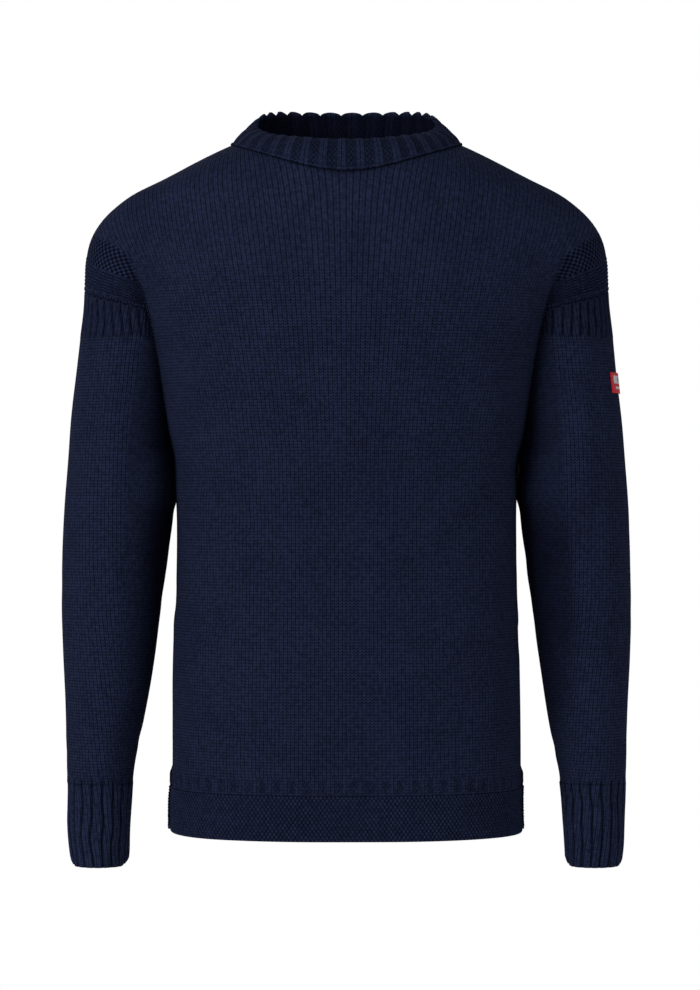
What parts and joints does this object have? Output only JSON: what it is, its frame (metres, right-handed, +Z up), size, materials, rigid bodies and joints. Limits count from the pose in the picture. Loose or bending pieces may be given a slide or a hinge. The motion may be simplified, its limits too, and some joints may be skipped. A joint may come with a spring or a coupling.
{
  "type": "guernsey fisherman sweater, worn form",
  "caption": "Hollow worn form of a drop-shoulder knitted sweater: ribbed neckband, long sleeves with ribbed cuffs, split garter-stitch welt and a small sleeve label.",
  "frame": {"origin": "on the neck's axis, level with the foot of the neckband over the shoulders, where the wearer carries the sweater", "axes": "+Z up, -Y the way the chest faces, +X towards the wearer's left"},
  "size_m": [0.569, 0.26, 0.756],
  "materials": {
    "knit": "tightly spun worsted wool in stocking stitch, matt with a soft blue sheen",
    "rib": "the same wool in a raised two-by-two rib",
    "welt": "the same wool in garter stitch",
    "label": null
  },
  "bodies": {
    "root": {"body_front": "knit", "body_back": "knit", "hem_welt_front": "welt", "hem_welt_back": "welt", "sleeve_left": "knit", "sleeve_right": "knit", "cuff_left": "rib", "cuff_right": "rib", "neckband": "rib", "sleeve_label": "label"}
  },
  "joints": []
}
